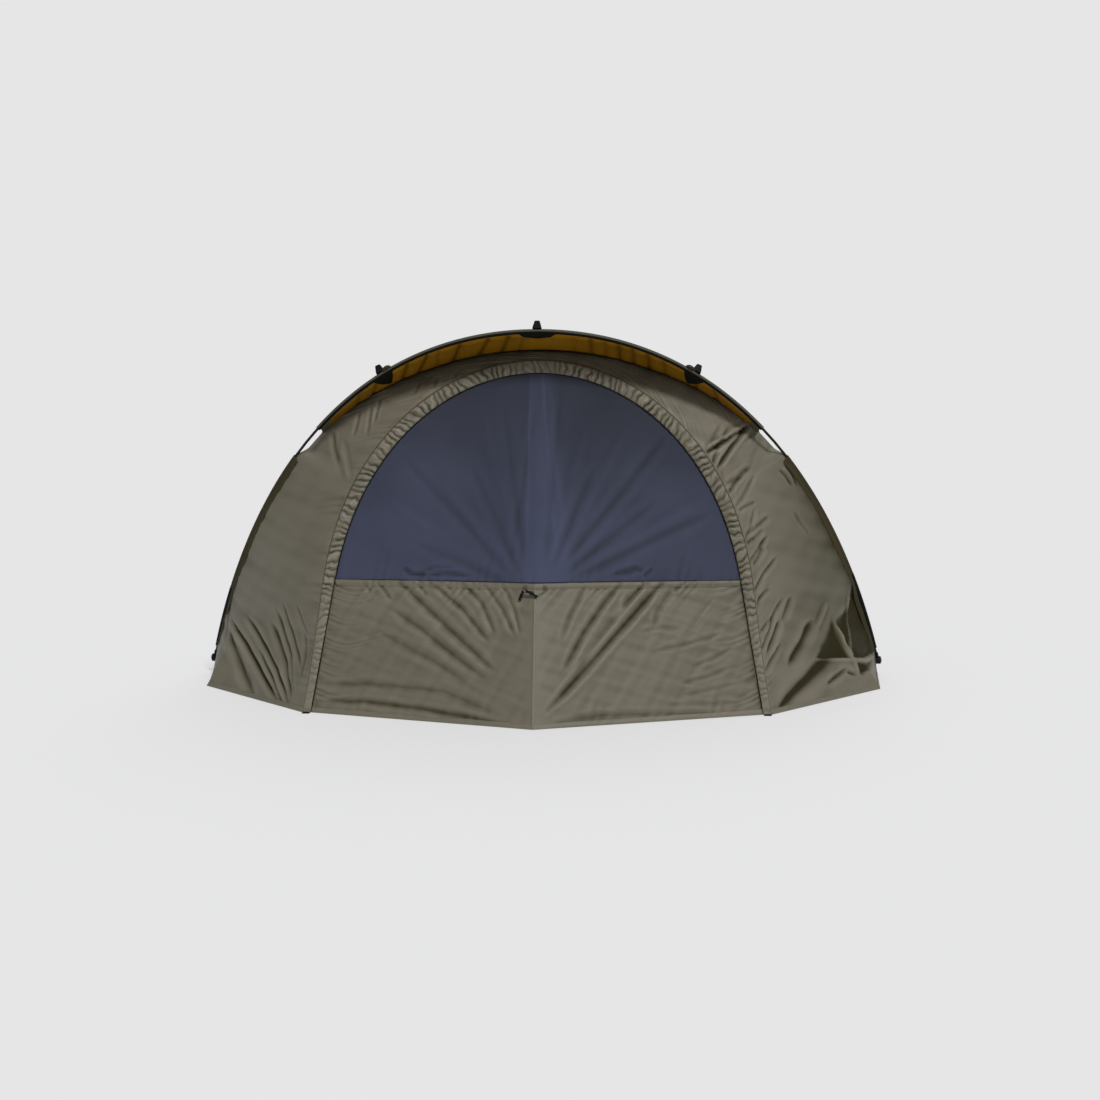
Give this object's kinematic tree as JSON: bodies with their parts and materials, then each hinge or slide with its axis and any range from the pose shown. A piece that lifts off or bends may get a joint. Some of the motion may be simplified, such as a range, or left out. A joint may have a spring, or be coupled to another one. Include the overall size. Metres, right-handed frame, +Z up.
{
  "type": "bivvy tent",
  "caption": "One-man angling bivvy tent: bent poles on two hub blocks, a hood that tips back, a peaked brow, and a zipped door half netting, half cloth.",
  "frame": {"origin": "on the ground under the middle of the bounding box", "axes": "X runs across the tent, from left to right seen from the front; -Y is the front with the door; +Z is up"},
  "size_m": [2.7686, 2.175, 1.3827],
  "materials": {
    "olive_cloth": "olive polyurethane-coated polyester, fine weave, soft sheen",
    "amber_coating": "amber coated underside of the brow",
    "netting": "blue-grey mosquito netting",
    "sleeve_webbing": "brown-olive webbing over the poles",
    "black_nylon": "moulded black nylon",
    "glass_fibre": "black lacquered glass fibre pole",
    "zinc_steel": "zinc-plated steel rivet",
    "groundsheet": "dark green PVC groundsheet",
    "webbing": "black polypropylene webbing"
  },
  "bodies": {
    "root": {"rear_rib": "glass_fibre", "back_rib": "glass_fibre", "rear_shell_left": "olive_cloth", "rear_shell_centre": "olive_cloth", "rear_shell_right": "olive_cloth", "back_wall_left": "olive_cloth", "back_wall_centre": "olive_cloth", "back_wall_right": "olive_cloth", "vent_netting": "netting", "vent_hood": "olive_cloth", "groundsheet": "groundsheet", "hub_block_left": "black_nylon", "hub_block_right": "black_nylon", "pivot_rivet_left": "zinc_steel", "pivot_rivet_right": "zinc_steel", "peg_loop_rear_left": "webbing", "peg_loop_rear_right": "webbing"},
    "hood": {"front_hoop": "glass_fibre", "middle_rib": "glass_fibre", "hoop_knuckle_left": "black_nylon", "hoop_knuckle_right": "black_nylon", "middle_knuckle_left": "black_nylon", "middle_knuckle_right": "black_nylon", "brow_sleeve": "sleeve_webbing", "side_sleeve_left": "sleeve_webbing", "side_sleeve_right": "sleeve_webbing", "roof_front_left": "olive_cloth", "roof_front_centre": "olive_cloth", "roof_front_right": "olive_cloth", "roof_rear_left": "olive_cloth", "roof_rear_centre": "olive_cloth", "roof_rear_right": "olive_cloth", "brow_panel": "olive_cloth", "brow_lining": "amber_coating", "wing_left": "olive_cloth", "wing_right": "olive_cloth", "ruffle_left": "olive_cloth", "ruffle_right": "olive_cloth", "bar_clip_left": "black_nylon", "bar_clip_centre": "black_nylon", "bar_clip_right": "black_nylon", "peg_loop_front_left": "webbing", "peg_loop_front_right": "webbing"},
    "door": {"door_lower_left": "olive_cloth", "door_lower_right": "olive_cloth", "door_netting_left": "netting", "door_netting_right": "netting", "sill_zip": "black_nylon"},
    "slider_left": {"zip_slider_left": "black_nylon"},
    "slider_right": {"zip_slider_right": "black_nylon"},
    "pull_left": {"zip_pull_left": "black_nylon"},
    "pull_right": {"zip_pull_right": "black_nylon"},
    "bar_left": {"tension_bar_left": "sleeve_webbing", "bar_cap_left": "black_nylon"},
    "bar_centre": {"tension_bar_centre": "sleeve_webbing", "bar_cap_centre": "black_nylon"},
    "bar_right": {"tension_bar_right": "sleeve_webbing", "bar_cap_right": "black_nylon"}
  },
  "joints": [
    {"name": "hood_fold", "type": "hinge", "parent": "root", "child": "hood", "pos_m": [0, 0.129, 0.06], "axis": [-1, 0, 0], "range_deg": [0, 70]},
    {"name": "door_fold", "type": "hinge", "parent": "hood", "child": "door", "pos_m": [0, -1.087, 0.004], "axis": [1, 0, 0], "range_deg": [0, 112]},
    {"name": "slider_left_slide", "type": "slide", "parent": "door", "child": "slider_left", "axis": [-0.9693, 0.246, 0], "range_m": [0, 0.65]},
    {"name": "slider_right_slide", "type": "slide", "parent": "door", "child": "slider_right", "axis": [0.9693, 0.246, 0], "range_m": [0, 0.65]},
    {"name": "pull_left_swing", "type": "hinge", "parent": "slider_left", "child": "pull_left", "pos_m": [-0.03549, -0.86908, 0.44886], "axis": [-0.9693, 0.246, 0], "range_deg": [0, 100]},
    {"name": "pull_right_swing", "type": "hinge", "parent": "slider_right", "child": "pull_right", "pos_m": [0.03549, -0.86908, 0.44886], "axis": [-0.9693, -0.246, 0], "range_deg": [0, 100]},
    {"name": "bar_left_lift", "type": "hinge", "parent": "hood", "child": "bar_left", "pos_m": [-0.56781, 0.01576, 1.07748], "axis": [-0.9041, -0.0875, -0.4183], "range_deg": [0, 110]},
    {"name": "bar_centre_lift", "type": "hinge", "parent": "hood", "child": "bar_centre", "pos_m": [0, 0.00086, 1.20911], "axis": [-1, 0, 0], "range_deg": [0, 110]},
    {"name": "bar_right_lift", "type": "hinge", "parent": "hood", "child": "bar_right", "pos_m": [0.56781, 0.01576, 1.07748], "axis": [-0.9041, 0.0875, 0.4183], "range_deg": [0, 110]}
  ]
}
